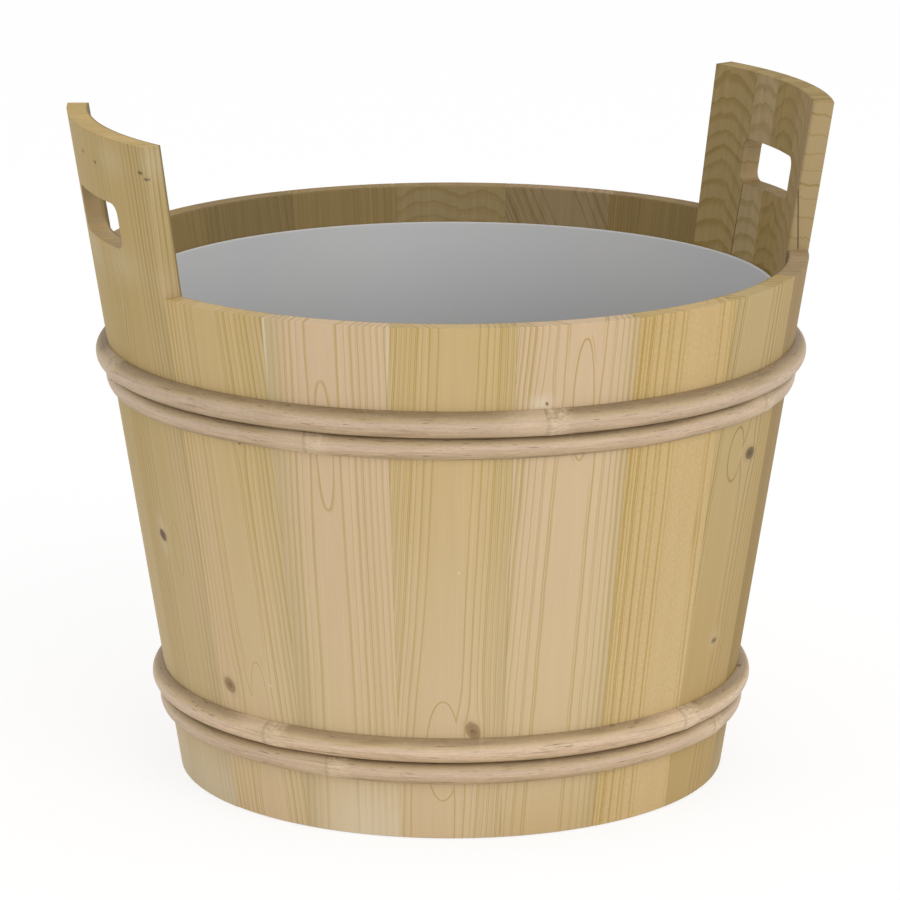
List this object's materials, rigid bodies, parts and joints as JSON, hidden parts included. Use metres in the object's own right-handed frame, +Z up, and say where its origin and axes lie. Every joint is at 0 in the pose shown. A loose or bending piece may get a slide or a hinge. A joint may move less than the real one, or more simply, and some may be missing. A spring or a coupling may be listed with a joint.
{
  "type": "sauna bucket",
  "caption": "Coopered wooden sauna bucket that widens upwards, with two tall slotted ears, half-round cane hoops and a lift-out grey plastic liner.",
  "frame": {"origin": "on the floor, on the bucket's upright axis", "axes": "+X through the right ear, +Z up"},
  "size_m": [0.426, 0.4, 0.3781],
  "materials": {
    "yellow_spruce": "planed, unvarnished, yellow tone",
    "pink_spruce": "planed, unvarnished, pink tone",
    "ear_spruce": "planed, unvarnished",
    "bottom_spruce": "planed, unvarnished",
    "beech": "turned dowel",
    "cane": "peeled split cane, satin",
    "grey_plastic": "moulded, satin",
    "steel": "stainless pin"
  },
  "bodies": {
    "bucket": {"stave_front_1": "yellow_spruce", "stave_front_2": "pink_spruce", "stave_front_3": "yellow_spruce", "stave_front_4": "pink_spruce", "stave_front_5": "yellow_spruce", "stave_front_6": "pink_spruce", "stave_front_7": "yellow_spruce", "stave_back_1": "pink_spruce", "stave_back_2": "yellow_spruce", "stave_back_3": "pink_spruce", "stave_back_4": "yellow_spruce", "stave_back_5": "pink_spruce", "stave_back_6": "yellow_spruce", "stave_back_7": "pink_spruce", "ear_stave_left_back": "ear_spruce", "ear_stave_left_front": "ear_spruce", "ear_stave_right_back": "ear_spruce", "ear_stave_right_front": "ear_spruce", "bottom_plank_1": "bottom_spruce", "bottom_plank_2": "bottom_spruce", "bottom_plank_3": "bottom_spruce", "bottom_plank_4": "bottom_spruce", "bottom_dowel_left_1": "beech", "bottom_dowel_right_1": "beech", "bottom_dowel_left_2": "beech", "bottom_dowel_right_2": "beech", "bottom_dowel_left_3": "beech", "bottom_dowel_right_3": "beech", "hoop_upper_fat": "cane", "hoop_upper_thin": "cane", "hoop_lower_fat": "cane", "hoop_lower_thin": "cane", "pin_upper_fat_1": "steel", "pin_upper_fat_2": "steel", "pin_upper_thin_1": "steel", "pin_upper_thin_2": "steel", "pin_lower_fat_1": "steel", "pin_lower_fat_2": "steel", "pin_lower_thin_1": "steel", "pin_lower_thin_2": "steel"},
    "liner": {"liner": "grey_plastic"}
  },
  "joints": [
    {"name": "liner_lift", "type": "slide", "parent": "bucket", "child": "liner", "axis": [0, 0, 1], "range_m": [0, 0.36]}
  ]
}
